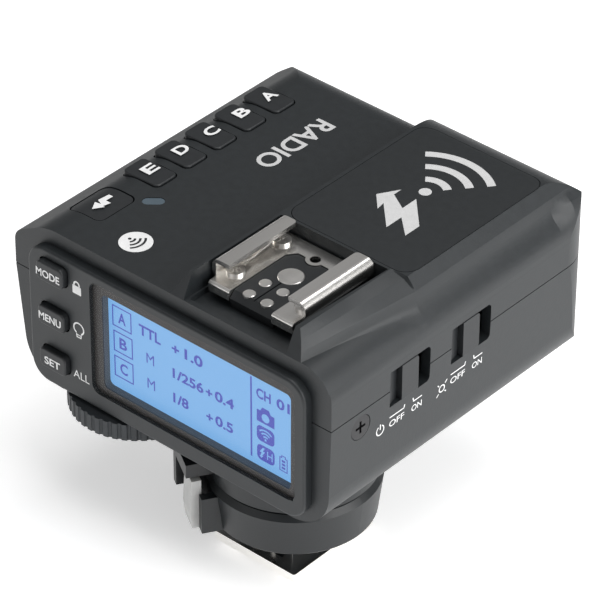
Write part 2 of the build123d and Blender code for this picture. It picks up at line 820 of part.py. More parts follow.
with BuildPart() as signal_contacts:
    with BuildSketch(Plane.XY.offset(cavity_top - 1.5)):
        with Locations(block_places[1:]):
            Circle(signal_diameter / 2)
    extrude(amount=block_top + 0.1 - cavity_top + 1.5)
    chamfer(signal_contacts.edges().group_by(Axis.Z)[-1], 0.12)
signal_contacts.part.label = "signal_contacts"
export_step(signal_contacts.part, "parts/signal_contacts.step")

spring_thickness = 0.25
spring_seat = rail_top - sheet
with BuildPart() as shoe_springs:
    for side in (-1, 1):
        with BuildSketch(wall_plane(side * (shoe_opening / 2 + 1.3) - 0.7)):
            with BuildLine():
                Polyline(
                    (shoe_front - 1.5, spring_seat - spring_thickness),
                    (shoe_front - 3.0, spring_seat - spring_thickness),
                    (shoe_rear + 6.5, shoe_base_top + 0.9),
                    (shoe_rear + 4.5, shoe_base_top + 1.3),
                    (shoe_rear + 4.5, shoe_base_top + 1.3 + spring_thickness),
                    (shoe_rear + 6.5, shoe_base_top + 0.9 + spring_thickness),
                    (shoe_front - 3.0, spring_seat),
                    (shoe_front - 1.5, spring_seat),
                    close=True,
                )
            make_face()
        extrude(amount=1.4)
shoe_springs.part.label = "shoe_springs"
export_step(shoe_springs.part, "parts/shoe_springs.step")

with BuildPart() as shoe_screws:
    with BuildSketch(Plane.XY.offset(cavity_top - 0.4)):
        with Locations(screw_places):
            Circle(0.85)
    extrude(amount=shoe_base_top - cavity_top + 0.4)
    with BuildSketch(Plane.XY.offset(shoe_base_top)):
        with Locations(screw_places):
            Circle(1.6)
    extrude(amount=0.5)
    with BuildSketch(Plane.XY.offset(shoe_base_top + 0.25)):
        with Locations(screw_places):
            Rectangle(1.9, 0.4)
            Rectangle(0.4, 1.9)
    extrude(amount=1, mode=Mode.SUBTRACT)
shoe_screws.part.label = "shoe_screws"
export_step(shoe_screws.part, "parts/shoe_screws.step")

# ---------------------------------------------------------------- slide switches
inner_face = body_right - wall
knob_height = slot_height - 2 * slide_gap
knob_z = slot_bottom + slot_height / 2
flange_overlap = 1.2
for name, slot_start in slot_starts.items():
    knob_start = slot_start + slide_gap
    with BuildPart() as slider:
        with BuildSketch(wall_plane(inner_face - 1.0)) as knob:
            with Locations((knob_start + knob_length / 2, knob_z)):
                Rectangle(knob_length, knob_height)
            fillet(knob.vertices().group_by(Axis.X)[-1], knob_round)
        extrude(amount=wall + 1.0 + knob_raise)
        fillet(slider.faces().sort_by(Axis.X)[-1].edges(), 0.08)
        # finger scoop, sloping in to a step
        with BuildSketch(Plane.XY.offset(slot_bottom)):
            with BuildLine():
                Polyline(
                    (body_right + knob_raise + 1, knob_start - 1),
                    (body_right - 0.2, knob_start - 1),
                    (body_right - 1.1, knob_start + scoop_length),
                    (body_right + knob_raise + 1, knob_start + scoop_length),
                    close=True,
                )
            make_face()
        extrude(amount=slot_height, mode=Mode.SUBTRACT)
        # flange that keeps the knob behind the wall
        with BuildSketch(wall_plane(inner_face - 2.0)):
            with Locations((knob_start + knob_length / 2, knob_z)):
                Rectangle(knob_length + 2 * flange_overlap, slot_height + 2 * flange_overlap)
        extrude(amount=1.0)
    slider.part.label = f"{name}_slider"
    export_step(slider.part, f"parts/{name}_slider.step")

with BuildPart() as slide_switches:
    for slot_start in slot_starts.values():
        with Locations((inner_face - 5.6, slot_start + slot_length / 2, board_z - 4.2)):
            Box(5.0, 8.0, 8.0, align=(Align.CENTER, Align.CENTER, Align.CENTER))
slide_switches.part.label = "slide_switches"
export_step(slide_switches.part, "parts/slide_switches.step")

# ---------------------------------------------------------------- select dial
with BuildPart() as select_dial:
    with BuildSketch(Plane.XY.offset(dial_bottom)):
        with Locations(dial_place):
            Circle(dial_radius)
        with Locations(dial_place):
            with PolarLocations(dial_radius + 0.12, dial_teeth):
                Circle(0.42, mode=Mode.SUBTRACT)
    extrude(amount=dial_thickness)
    with BuildSketch(Plane.XY.offset(dial_bottom)):
        with Locations(dial_place):
            Circle(dial_radius - 2.2)
    extrude(amount=0.6, mode=Mode.SUBTRACT)
    with BuildSketch(Plane.XY.offset(dial_bottom + dial_thickness)):
        with Locations(dial_place):
            Circle(spindle_radius)
    extrude(amount=spindle_length)
select_dial.part.label = "select_dial"
export_step(select_dial.part, "parts/select_dial.step")

floor_over_dial = dial_bottom + dial_thickness + dial_gap + 1.2
with BuildPart() as dial_encoder:
    with BuildSketch(Plane.XY.offset(floor_over_dial)):
        with Locations(dial_place):
            Rectangle(encoder_size, encoder_size)
            Circle(spindle_radius + 0.3, mode=Mode.SUBTRACT)
    extrude(amount=encoder_height)
dial_encoder.part.label = "dial_encoder"
export_step(dial_encoder.part, "parts/dial_encoder.step")

# ---------------------------------------------------------------- foot
with BuildPart() as foot_plate:
    with BuildSketch():
        Rectangle(foot_width, foot_length)
    extrude(amount=foot_thickness)
    fillet(foot_plate.edges().filter_by(Axis.Z), 0.5)
    chamfer(foot_plate.faces().sort_by(Axis.Z)[0].edges().filter_by(Axis.Y), 0.3)
    with BuildSketch():
        Rectangle(neck - 3.4, foot_length - 4.5)
    extrude(amount=foot_thickness, mode=Mode.SUBTRACT)
foot_plate.part.label = "foot_plate"
export_step(foot_plate.part, "parts/foot_plate.step")

pin_radius = 0.75
foot_pin_rows = (-3.7, -7.1)
foot_pin_places = [(0, 0)] + [(x, y) for y in foot_pin_rows for x in (-signal_x, signal_x)]
lock_pin_place = (0, 6.4)
with BuildPart() as foot_block:
    with BuildSketch():
        Rectangle(neck - 3.5, foot_length - 4.6)
    extrude(amount=foot_thickness)
    with BuildSketch(Plane.XY.offset(foot_thickness)):
        RectangleRounded(neck, neck + 3.0, 0.4)
    extrude(amount=ring_bottom + 2.0 - foot_thickness)
    with BuildSketch(Plane.XY.offset(ring_bottom + 2.0)):
        Circle(ring_bore - 0.3)
    extrude(amount=body_bottom - ring_bottom - 2.0)
    with BuildSketch(Plane.XY.offset(body_bottom)):
        Circle(neck_tube_radius)
    extrude(amount=wall + 1.5)
    # wells of the contact pins and their springs
    with BuildSketch(Plane.XY.offset(-1)):
        with Locations(foot_pin_places):
            Circle(pin_radius + 0.1)
        with Locations(lock_pin_place):
            Circle(pin_radius + 0.3)
    extrude(amount=ring_bottom + 3.0, mode=Mode.SUBTRACT)
    with BuildSketch(Plane.XY.offset(body_bottom - 4.2)):
        with PolarLocations(foot_screw_circle, 4, start_angle=45):
            Circle(screw_radius)
    extrude(amount=5, mode=Mode.SUBTRACT)
foot_block.part.label = "foot_block"
export_step(foot_block.part, "parts/foot_block.step")

with BuildPart() as foot_contact_pins:
    with BuildSketch(Plane.XY.offset(-pin_projection)):
        with Locations(foot_pin_places):
            Circle(pin_radius)
    extrude(amount=pin_projection + 3.5)
    fillet(foot_contact_pins.edges().group_by(Axis.Z)[0], 0.4)
foot_contact_pins.part.label = "foot_contact_pins"
export_step(foot_contact_pins.part, "parts/foot_contact_pins.step")

with BuildPart() as locking_pin:
    with BuildSketch(Plane.XY.offset(-1.6)):
        with Locations(lock_pin_place):
            Circle(pin_radius + 0.15)
    extrude(amount=1.6 + 5.0)
    chamfer(locking_pin.edges().group_by(Axis.Z)[0], 0.3)
locking_pin.part.label = "locking_pin"
export_step(locking_pin.part, "parts/locking_pin.step")

with BuildPart() as collar:
    with BuildSketch(Plane.XY.offset(ring_top + 0.25)):
        Circle(collar_radius)
        Circle(ring_bore, mode=Mode.SUBTRACT)
    extrude(amount=body_bottom - ring_top - 0.25)
    chamfer(collar.edges().filter_by(GeomType.CIRCLE).group_by(Axis.Z)[0].sort_by(SortBy.LENGTH)[-1], 0.4)
collar.part.label = "collar"
export_step(collar.part, "parts/collar.step")

lever_plane = Plane((0, 0, 0), x_dir=(cos(radians(lever_angle)), sin(radians(lever_angle)), 0), z_dir=(0, 0, 1))
lever_side = Plane(lever_plane.origin, x_dir=lever_plane.x_dir, z_dir=-lever_plane.y_dir)
clamp_radius = ring_bore + 1.2
with BuildPart() as lock_ring:
    with BuildSketch(Plane.XZ) as ring_section:
        with BuildLine():
            Polyline(
                (ring_bore, ring_bottom + clamp_thickness + 0.4),
                (clamp_radius + 0.3, ring_bottom + clamp_thickness + 0.4),
                (clamp_radius + 0.3, ring_bottom),
                (ring_bottom_radius - 0.5, ring_bottom),
                (ring_bottom_radius, ring_bottom + 0.5),
                (ring_top_radius, ring_top - 1.0),
                (ring_top_radius - 0.9, ring_top),
                (ring_bore, ring_top),
                close=True,
            )
        make_face()
    revolve(axis=Axis.Z)
    # lugs either side of the release lever
    with BuildSketch(lever_plane.offset(ring_bottom + 0.3)):
        with Locations(
            ((lug_root + lug_reach) / 2, lever_half + 1.1), ((lug_root + lug_reach) / 2, -lever_half - 1.1)
        ):
            Rectangle(lug_reach - lug_root, 1.7)
    extrude(amount=ring_top - ring_bottom - 1.6)
lock_ring.part.label = "lock_ring"
export_step(lock_ring.part, "parts/lock_ring.step")

with BuildPart() as clamp_plate:
    with BuildSketch(Plane.XY.offset(ring_bottom)):
        Circle(clamp_radius)
        RectangleRounded(neck + 0.5, neck + 3.5, 0.5, mode=Mode.SUBTRACT)
    extrude(amount=clamp_thickness)
clamp_plate.part.label = "clamp_plate"
export_step(clamp_plate.part, "parts/clamp_plate.step")

with BuildPart() as release_lever:
    with BuildSketch(lever_side) as lever_profile:
        with BuildLine():
            Polyline(
                (ring_top_radius + 0.5, lever_pin_z - 1.6),
                (lever_reach - 2.0, lever_pin_z - 1.9),
                (lever_reach - 1.6, ring_bottom + 0.2),
                (lever_reach - 0.1, ring_bottom + 0.2),
                (lever_reach + 0.3, lever_pin_z),
                (lever_reach - 0.1, lever_top),
                (lever_reach - 1.8, lever_top),
                (lever_reach - 1.8, lever_pin_z + 1.6),
                (ring_top_radius + 0.5, lever_pin_z + 1.6),
                close=True,
            )
        make_face()
    extrude(amount=lever_half, both=True)
    with BuildSketch(lever_side):
        with Locations((lever_pin_r, lever_pin_z)):
            Circle(0.65)
    extrude(amount=lever_half + 1, both=True, mode=Mode.SUBTRACT)
release_lever.part.label = "release_lever"
export_step(release_lever.part, "parts/release_lever.step")

with BuildPart() as lever_pin:
    with BuildSketch(lever_side):
        with Locations((lever_pin_r, lever_pin_z)):
            Circle(0.6)
    extrude(amount=lever_half + 0.2, both=True)
lever_pin.part.label = "lever_pin"
export_step(lever_pin.part, "parts/lever_pin.step")

guard_side = -lever_half - 1.0
with BuildPart() as lever_guard:
    # roof under the housing
    with BuildSketch(lever_plane.offset(lever_top + 0.5)):
        with Locations((collar_radius + (guard_reach - collar_radius) / 2, guard_side / 2 - 0.8)):
            Rectangle(guard_reach - collar_radius, -guard_side + lever_half + 2.6)
        Circle(collar_radius + 0.02, mode=Mode.SUBTRACT)
    extrude(amount=body_bottom - lever_top - 0.5)
    # cheek beside the lever
    with BuildSketch(lever_plane.offset(ring_bottom + 4.4)):
        with Locations((guard_reach - 1.7, guard_side - 2.6)):
            Rectangle(3.4, 1.6)
    extrude(amount=body_bottom - ring_bottom - 4.4)
lever_guard.part.label = "lever_guard"
export_step(lever_guard.part, "parts/lever_guard.step")

with BuildPart() as foot_screws:
    with PolarLocations(foot_screw_circle, 4, start_angle=45):
        with Locations((0, 0, body_bottom - 4)):
            Cylinder(screw_radius - 0.05, wall + 4, align=(Align.CENTER, Align.CENTER, Align.MIN))
        with Locations((0, 0, body_bottom + wall)):
            Cylinder(screw_head_radius, 1.2, align=(Align.CENTER, Align.CENTER, Align.MIN))
foot_screws.part.label = "foot_screws"
export_step(foot_screws.part, "parts/foot_screws.step")

# ---------------------------------------------------------------- batteries
cell_places = [cell_y, cell_y + cell_pitch]
with BuildPart() as battery_cells:
    for y in cell_places:
        with BuildSketch(wall_plane(cell_start)):
            with Locations((y, cell_z)):
                Circle(cell_diameter / 2)
        extrude(amount=cell_length)
        with BuildSketch(wall_plane(cell_start + cell_length)):
            with Locations((y, cell_z)):
                Circle(2.6)
        extrude(amount=1.2)
battery_cells.part.label = "battery_cells"
export_step(battery_cells.part, "parts/battery_cells.step")

cradle_thickness = 1.0
with BuildPart() as battery_cradle:
    with BuildSketch(wall_plane(cell_start + 1.2)):
        with BuildLine():
            Polyline(
                (cell_y - cell_diameter / 2 - cradle_wall, body_bottom + wall),
                (cell_y + cell_pitch + cell_diameter / 2 + cradle_wall, body_bottom + wall),
                (cell_y + cell_pitch + cell_diameter / 2 + cradle_wall, cell_z + 3),
                (cell_y - cell_diameter / 2 - cradle_wall, cell_z + 3),
                close=True,
            )
        make_face()
        with Locations([(y, cell_z) for y in cell_places]):
            Circle(cell_diameter / 2 + 0.3, mode=Mode.SUBTRACT)
        with Locations([(y, cell_z + 3) for y in cell_places]):
            Rectangle(cell_diameter + 0.6, 6, mode=Mode.SUBTRACT)
    extrude(amount=cell_length + 2.0)
    with BuildSketch(wall_plane(cell_start + cell_length + 3.2)):
        with Locations((cell_y + cell_pitch / 2, (body_bottom + wall + cell_z + 6) / 2)):
            Rectangle(cell_pitch + cell_diameter + 2 * cradle_wall, cell_z + 6 - body_bottom - wall)
    extrude(amount=cradle_thickness)
    add(body_block(wall + 0.05), mode=Mode.INTERSECT)
battery_cradle.part.label = "battery_cradle"
export_step(battery_cradle.part, "parts/battery_cradle.step")

with BuildPart() as battery_terminals:
    for y in cell_places:
        with BuildSketch(wall_plane(cell_start + cell_length + 1.25)):
            with Locations((y, cell_z)):
                RectangleRounded(9, 9, 1)
        extrude(amount=0.4)
        # tag up to the board
        with BuildSketch(wall_plane(cell_start + cell_length + 1.25)):
            with Locations((y, (cell_z + 4 + board_z) / 2)):
                Rectangle(2.5, board_z - cell_z - 4)
        extrude(amount=0.4)
battery_terminals.part.label = "battery_terminals"
export_step(battery_terminals.part, "parts/battery_terminals.step")

hinge_x = body_left + hinge_depth
hinge_z = door_top - hinge_radius - door_gap
with BuildPart() as battery_door:
    add(housing.part)
    add(door_outline(door_gap), mode=Mode.INTERSECT)
    with BuildSketch(Plane.XY.offset(hinge_z)):
        Rectangle(400, 400)
    extrude(amount=20, mode=Mode.SUBTRACT)
    with BuildSketch(section_at(door_rear + door_gap)):
        with Locations((hinge_x, hinge_z)):
            Circle(hinge_radius)
    extrude(amount=-(door_front - door_rear - 2 * door_gap))
    with BuildSketch(section_at(door_rear)):
        with Locations((hinge_x, hinge_z)):
            Circle(0.45)
    extrude(amount=-(door_front - door_rear), mode=Mode.SUBTRACT)
battery_door.part.label = "battery_door"
export_step(battery_door.part, "parts/battery_door.step")

with BuildPart() as door_hinge_pin:
    with BuildSketch(section_at(door_rear + door_gap)):
        with Locations((hinge_x, hinge_z)):
            Circle(0.4)
    extrude(amount=-(door_front - door_rear - 2 * door_gap))
door_hinge_pin.part.label = "door_hinge_pin"
export_step(door_hinge_pin.part, "parts/door_hinge_pin.step")

with BuildPart() as door_contact:
    with BuildSketch(wall_plane(body_left)):
        with Locations((cell_y + cell_pitch / 2, cell_z)):
            RectangleRounded(cell_pitch + 8, 6, 1)
    extrude(amount=wall + left_draft + 1)
    add(body_block(wall), mode=Mode.INTERSECT)
    add(body_block(wall + 0.3), mode=Mode.SUBTRACT)
door_contact.part.label = "door_contact"
export_step(door_contact.part, "parts/door_contact.step")

# ---------------------------------------------------------------- boards and electronics
with BuildPart() as main_board:
    with BuildSketch(Plane.XY.offset(board_z)):
        with BuildLine():
            Polyline(
                (board_left, board_rear),
                (board_right, board_rear),
                (board_right, board_front),
                (board_left, board_front),
                close=True,
            )
        make_face()
        with Locations(boss_places):
            Circle(boss_radius + 0.4, mode=Mode.SUBTRACT)
        with Locations((board_left, board_front + 2.5), (board_right + 1, board_front + 2.5)):
            Rectangle(9, 14, mode=Mode.SUBTRACT)
    extrude(amount=board_thickness)
main_board.part.label = "main_board"
export_step(main_board.part, "parts/main_board.step")

board_top = board_z + board_thickness
with BuildPart() as key_switches:
    group_places = [group_key_first + group_key_width / 2 + n * group_key_pitch for n in range(group_key_count)]
    for y in (*group_places, (test_key_rear + test_key_front) / 2):
        with Locations((group_key_right - 3.5, y, board_top)):
            Box(switch_size, switch_size, 0.6, align=(Align.CENTER, Align.CENTER, Align.MIN))
            Cylinder(0.8, 0.8, align=(Align.CENTER, Align.CENTER, Align.MIN))
key_switches.part.label = "key_switches"
export_step(key_switches.part, "parts/key_switches.step")

with BuildPart() as radio_module:
    with Locations((6, board_front - 21.5, board_top)):
        Box(14, 18, 2.4, align=(Align.CENTER, Align.CENTER, Align.MIN))
radio_module.part.label = "radio_module"
export_step(radio_module.part, "parts/radio_module.step")

with BuildPart() as antenna:
    with Locations((4, board_front - 5.5, board_top)):
        Box(3.2, 9, 1.2, align=(Align.CENTER, Align.CENTER, Align.MIN))
antenna.part.label = "antenna"
export_step(antenna.part, "parts/antenna.step")

with BuildPart() as key_board:
    with BuildSketch(section_at(key_foot + key_flange + key_travel + 1.3)):
        with Locations((rear_key_x - 0.1, 36.5)):
            Rectangle(7.6, 24)
    extrude(amount=-1.2)
    for height in rear_key_z.values():
        with BuildSketch(section_at(key_foot + key_flange + key_travel + 0.1)):
            with Locations((rear_key_x, height)):
                Circle(0.9)
        extrude(amount=-1.2)
key_board.part.label = "key_board"
export_step(key_board.part, "parts/key_board.step")

# ---------------------------------------------------------------- sockets, lamp, screws
with BuildPart() as sync_socket:
    with BuildSketch(wall_plane(body_left + 1.0)):
        with Locations((jack_y, socket_z)):
            Circle(jack_radius)
            Circle(1.3, mode=Mode.SUBTRACT)
    extrude(amount=11)
sync_socket.part.label = "sync_socket"
export_step(sync_socket.part, "parts/sync_socket.step")

with BuildPart() as usb_socket:
    with BuildSketch(wall_plane(body_left + 1.0)):
        with Locations((usb_y, socket_z)):
            SlotOverall(usb_width, usb_height)
            SlotOverall(usb_width - 0.7, usb_height - 0.7, mode=Mode.SUBTRACT)
    extrude(amount=7)
    with BuildSketch(wall_plane(body_left + 7.0)):
        with Locations((usb_y, socket_z)):
            SlotOverall(usb_width - 0.6, usb_height - 0.6)
    extrude(amount=1)
    with BuildSketch(wall_plane(body_left + 2.0)):
        with Locations((usb_y, socket_z)):
            Rectangle(6.6, 0.7)
    extrude(amount=5.5)
usb_socket.part.label = "usb_socket"
export_step(usb_socket.part, "parts/usb_socket.step")

with BuildPart() as focus_lamp_window:
    with BuildSketch(section_at(body_front - wall)):
        with Locations((lamp_x, lamp_z)):
            RectangleRounded(lamp_width, lamp_height, 2)
    extrude(amount=-(wall - 0.3))
    with BuildSketch(section_at(body_front - wall - 0.8)):
        with Locations((lamp_x, lamp_z)):
            RectangleRounded(lamp_width + 2, lamp_height + 2, 2.5)
    extrude(amount=-0.8)
focus_lamp_window.part.label = "focus_lamp_window"
export_step(focus_lamp_window.part, "parts/focus_lamp_window.step")

with BuildPart() as focus_lamp:
    with BuildSketch(section_at(body_front - wall - 6.4)):
        with Locations((lamp_x, lamp_z)):
            Circle(2.5)
    extrude(amount=-4.0)
    fillet(focus_lamp.faces().sort_by(Axis.Y)[-1].edges(), 1.8)
focus_lamp.part.label = "focus_lamp"
export_step(focus_lamp.part, "parts/focus_lamp.step")

with BuildPart() as case_screws:
    for place in boss_places:
        with BuildSketch(Plane.XY.offset(body_bottom + screw_head_depth - 1.6)):
            with Locations(place):
                Circle(screw_head_radius)
        extrude(amount=1.6)
        with BuildSketch(Plane.XY.offset(body_bottom + screw_head_depth)):
            with Locations(place):
                Circle(screw_radius - 0.05)
        extrude(amount=seam_height + 4 - body_bottom - screw_head_depth)
case_screws.part.label = "case_screws"
export_step(case_screws.part, "parts/case_screws.step")

with BuildPart() as side_screw:
    with BuildSketch(wall_plane(body_right - side_head_depth - 0.15)):
        with Locations((side_screw_y, side_screw_z)):
            Circle(side_screw_diameter / 2)
    extrude(amount=side_head_depth)
    with BuildSketch(wall_plane(body_right - side_head_depth + 0.1)):
        with Locations((side_screw_y, side_screw_z)):
            Rectangle(2.4, 0.5)
            Rectangle(0.5, 2.4)
    extrude(amount=2, mode=Mode.SUBTRACT)
    with BuildSketch(wall_plane(body_right - wall - 3)):
        with Locations((side_screw_y, side_screw_z)):
            Circle(screw_radius)
    extrude(amount=wall + 3 - side_head_depth - 0.15)
side_screw.part.label = "side_screw"
export_step(side_screw.part, "parts/side_screw.step")
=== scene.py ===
"""Looks of a wireless flash trigger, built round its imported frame.

The housing, keys, shoe, ring and foot come from the frame and get their finishes here. The printed
legends, the lit display and its window are thin surfaces worked out below, in millimetres, and laid on them.
"""

import json

import bpy
import numpy as np
from mathutils import Matrix, Vector
from mathutils.geometry import tessellate_polygon


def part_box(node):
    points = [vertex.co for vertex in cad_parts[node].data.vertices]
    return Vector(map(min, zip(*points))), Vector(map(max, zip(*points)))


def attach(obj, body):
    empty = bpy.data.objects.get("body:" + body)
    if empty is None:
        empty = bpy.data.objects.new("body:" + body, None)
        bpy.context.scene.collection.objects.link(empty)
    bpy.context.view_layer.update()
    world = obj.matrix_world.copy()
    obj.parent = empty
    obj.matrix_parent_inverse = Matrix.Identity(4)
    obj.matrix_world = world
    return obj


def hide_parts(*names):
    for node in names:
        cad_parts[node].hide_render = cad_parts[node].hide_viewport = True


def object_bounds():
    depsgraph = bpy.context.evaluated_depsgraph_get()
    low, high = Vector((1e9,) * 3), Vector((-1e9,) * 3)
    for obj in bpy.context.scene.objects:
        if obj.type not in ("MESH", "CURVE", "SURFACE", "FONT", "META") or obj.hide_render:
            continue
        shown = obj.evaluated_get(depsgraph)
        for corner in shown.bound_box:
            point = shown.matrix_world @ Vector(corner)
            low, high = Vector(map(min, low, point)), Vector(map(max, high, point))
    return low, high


bl_info = {
    "name": "Wireless flash trigger looks",
    "version": (1, 0, 0),
    "blender": (4, 2, 0),
    "location": "View3D > Sidebar > Flash trigger",
    "description": "Finishes, legends and lit display of a wireless flash trigger",
    "category": "Object",
}

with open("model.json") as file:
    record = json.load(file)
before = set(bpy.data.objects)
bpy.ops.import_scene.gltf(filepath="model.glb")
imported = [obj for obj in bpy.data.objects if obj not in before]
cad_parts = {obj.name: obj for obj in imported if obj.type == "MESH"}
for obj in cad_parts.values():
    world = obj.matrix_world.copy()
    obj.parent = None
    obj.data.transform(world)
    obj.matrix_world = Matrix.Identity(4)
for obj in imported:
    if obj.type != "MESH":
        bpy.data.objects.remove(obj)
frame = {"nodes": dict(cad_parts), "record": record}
cad_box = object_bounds()
MM = 0.001
LOW, HIGH = 0, 1


def side_of(node, corner, axis):
    """Where one side of a node's box lies, in millimetres: corner is LOW or HIGH, axis is x, y or z."""
    return getattr(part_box(node)[corner], axis) / MM


# The switch side leans out by SIDE_LEAN for each millimetre up to the seam between the shells.
SIDE_LEAN = 0.0291
seam_height = side_of("upper_shell", LOW, "z")
side_foot = side_of("upper_shell", HIGH, "x") - SIDE_LEAN * seam_height
TOP_HEIGHT = 53.0
GROUP_KEY_RAISE = 0.4

# Faces that carry print: a point on the face, the way its words read, and the way their letters stand.
REAR_FACE = ((0, side_of("rear_fascia", LOW, "y"), 0), (1, 0, 0), (0, 0, 1))
KEY_FACE = ((0, side_of("mode_key", LOW, "y"), 0), (1, 0, 0), (0, 0, 1))
DISPLAY_FACE = ((0, side_of("lcd_panel", LOW, "y"), 0), (1, 0, 0), (0, 0, 1))
SIDE_FACE = ((side_foot, 0, 0), (0, 1, 0), (SIDE_LEAN, 0, 1))
TOP_FACE = ((0, 0, TOP_HEIGHT), (0, -1, 0), (1, 0, 0))
PANEL_FACE = ((0, 0, side_of("name_panel", HIGH, "z")), (0, -1, 0), (1, 0, 0))
GROUP_FACE = ((0, 0, TOP_HEIGHT + GROUP_KEY_RAISE), (0, 1, 0), (-1, 0, 0))

# Second row of slide switch legends, and the flash arrow on the test key as (x, y) from its rear tip round.
SWITCH_PITCH = 15.75
FLASH_ARROW = [
    (-39.79, -6.89), (-40.86, -5.05), (-39.68, -4.8), (-40.89, -4.28), (-40.63, -1.84),
    (-39.71, -1.82), (-39.77, -3.48), (-38.62, -3.46), (-39.02, -5.01), (-38.56, -5.0),
]


# ---------------------------------------------------------------- flat shapes, in millimetres
def unit(vectors):
    """Each row divided by its own length."""
    return vectors / np.maximum(np.linalg.norm(vectors, axis=-1, keepdims=True), 1e-12)


def arc(centre, radii, start, end, steps=24):
    """Points of an ellipse's arc: centre plus radii times the cosine and sine of evenly spaced angles."""
    angle = np.radians(np.linspace(start, end, steps))
    return np.asarray(centre) + np.stack([np.cos(angle), np.sin(angle)], 1) * np.asarray(radii)


def ribbon(points, width, closed=False):
    """A drawn line: every point steps half the width to both sides, along the mean of its two runs'
    normals, further where the line turns, so that the width stays the same."""
    line = np.asarray(points, float)
    if closed:
        before, after = np.roll(line, 1, 0), np.roll(line, -1, 0)
    else:
        before = np.vstack([2 * line[0] - line[1], line[:-1]])
        after = np.vstack([line[1:], 2 * line[-1] - line[-2]])
    into, out = unit(line - before), unit(after - line)
    middle = unit(into + out)
    half = width / 2 / np.clip((middle * into).sum(1), 0.4, 1)[:, None]
    side = np.stack([-middle[:, 1], middle[:, 0]], 1) * half
    count = len(line)
    here = np.arange(count if closed else count - 1)
    there = (here + 1) % count
    faces = np.concatenate(
        [np.stack([here, here + count, there], 1), np.stack([there, here + count, there + count], 1)]
    )
    return np.vstack([line + side, line - side]), faces


def plate(outline):
    """A filled outline, cut into triangles."""
    points = np.asarray(outline, float)
    triangles = tessellate_polygon([[Vector((*p, 0)) for p in points.tolist()]])
    return points, np.array(triangles, int)


def box_outline(centre, size, corner, steps=5):
    """A rectangle with round corners: four quarter arcs, one after the other."""
    half = np.asarray(size) / 2 - corner
    middle = np.asarray(centre)
    turns = [(1, 1, 0), (-1, 1, 90), (-1, -1, 180), (1, -1, 270)]
    return np.vstack(
        [arc(middle + half * (sx, sy), (corner, corner), start, start + 90, steps) for sx, sy, start in turns]
    )


def word(text, centre, size, bold=0.02):
    """A word in the plain built-in face, stretched to size (width, height) about centre."""
    curve = bpy.data.curves.new("word", "FONT")
    curve.body, curve.offset, curve.resolution_u = text, bold, 5
    holder = bpy.data.objects.new("word", curve)
    mesh = bpy.data.meshes.new_from_object(holder)
    flat = np.empty(len(mesh.vertices) * 3)
    mesh.vertices.foreach_get("co", flat)
    mesh.calc_loop_triangles()
    faces = np.empty(len(mesh.loop_triangles) * 3, int)
    mesh.loop_triangles.foreach_get("vertices", faces)
    points = flat.reshape(-1, 3)[:, :2]
    low, high = points.min(0), points.max(0)
    bpy.data.objects.remove(holder)
    bpy.data.curves.remove(curve)
    bpy.data.meshes.remove(mesh)
    stretched = (points - (low + high) / 2) * np.asarray(size) / (high - low)
    return stretched + np.asarray(centre), faces.reshape(-1, 3)


def joined(shapes):
    """Several flat shapes as one: points stacked, each shape's face numbers moved on by those before."""
    counts = np.cumsum([0] + [len(points) for points, _ in shapes[:-1]])
    return (
        np.vstack([points for points, _ in shapes]),
        np.vstack([faces + start for (_, faces), start in zip(shapes, counts)]),
    )


def printed(name, shapes, face, lift, body, material):
    """Puts flat shapes on a face: point = face point + u x reading direction + v x letter direction
    + lift x normal, and turns every triangle to look out of the face."""
    origin, across, up = (np.array(v, float) for v in face)
    across, up = unit(across), unit(up)
    normal = np.cross(across, up)
    points, faces = joined(shapes)
    corners = points[faces]
    turn = np.cross(corners[:, 1] - corners[:, 0], corners[:, 2] - corners[:, 0])
    faces = np.where((turn < 0)[:, None], faces[:, ::-1], faces)
    placed = (origin + points[:, :1] * across + points[:, 1:] * up + normal * lift) * MM
    return piece(name, placed, faces, body, material)


def piece(name, points, faces, body, material, smooth=False):
    """Makes a mesh object of the points, in metres, that rides on a body of the frame."""
    mesh = bpy.data.meshes.new(name)
    mesh.from_pydata(points.tolist(), [], faces.tolist())
    mesh.polygons.foreach_set("use_smooth", np.full(len(mesh.polygons), smooth))
    mesh.materials.append(material)
    made = bpy.data.objects.new(name, mesh)
    bpy.context.scene.collection.objects.link(made)
    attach(made, body)
    return made


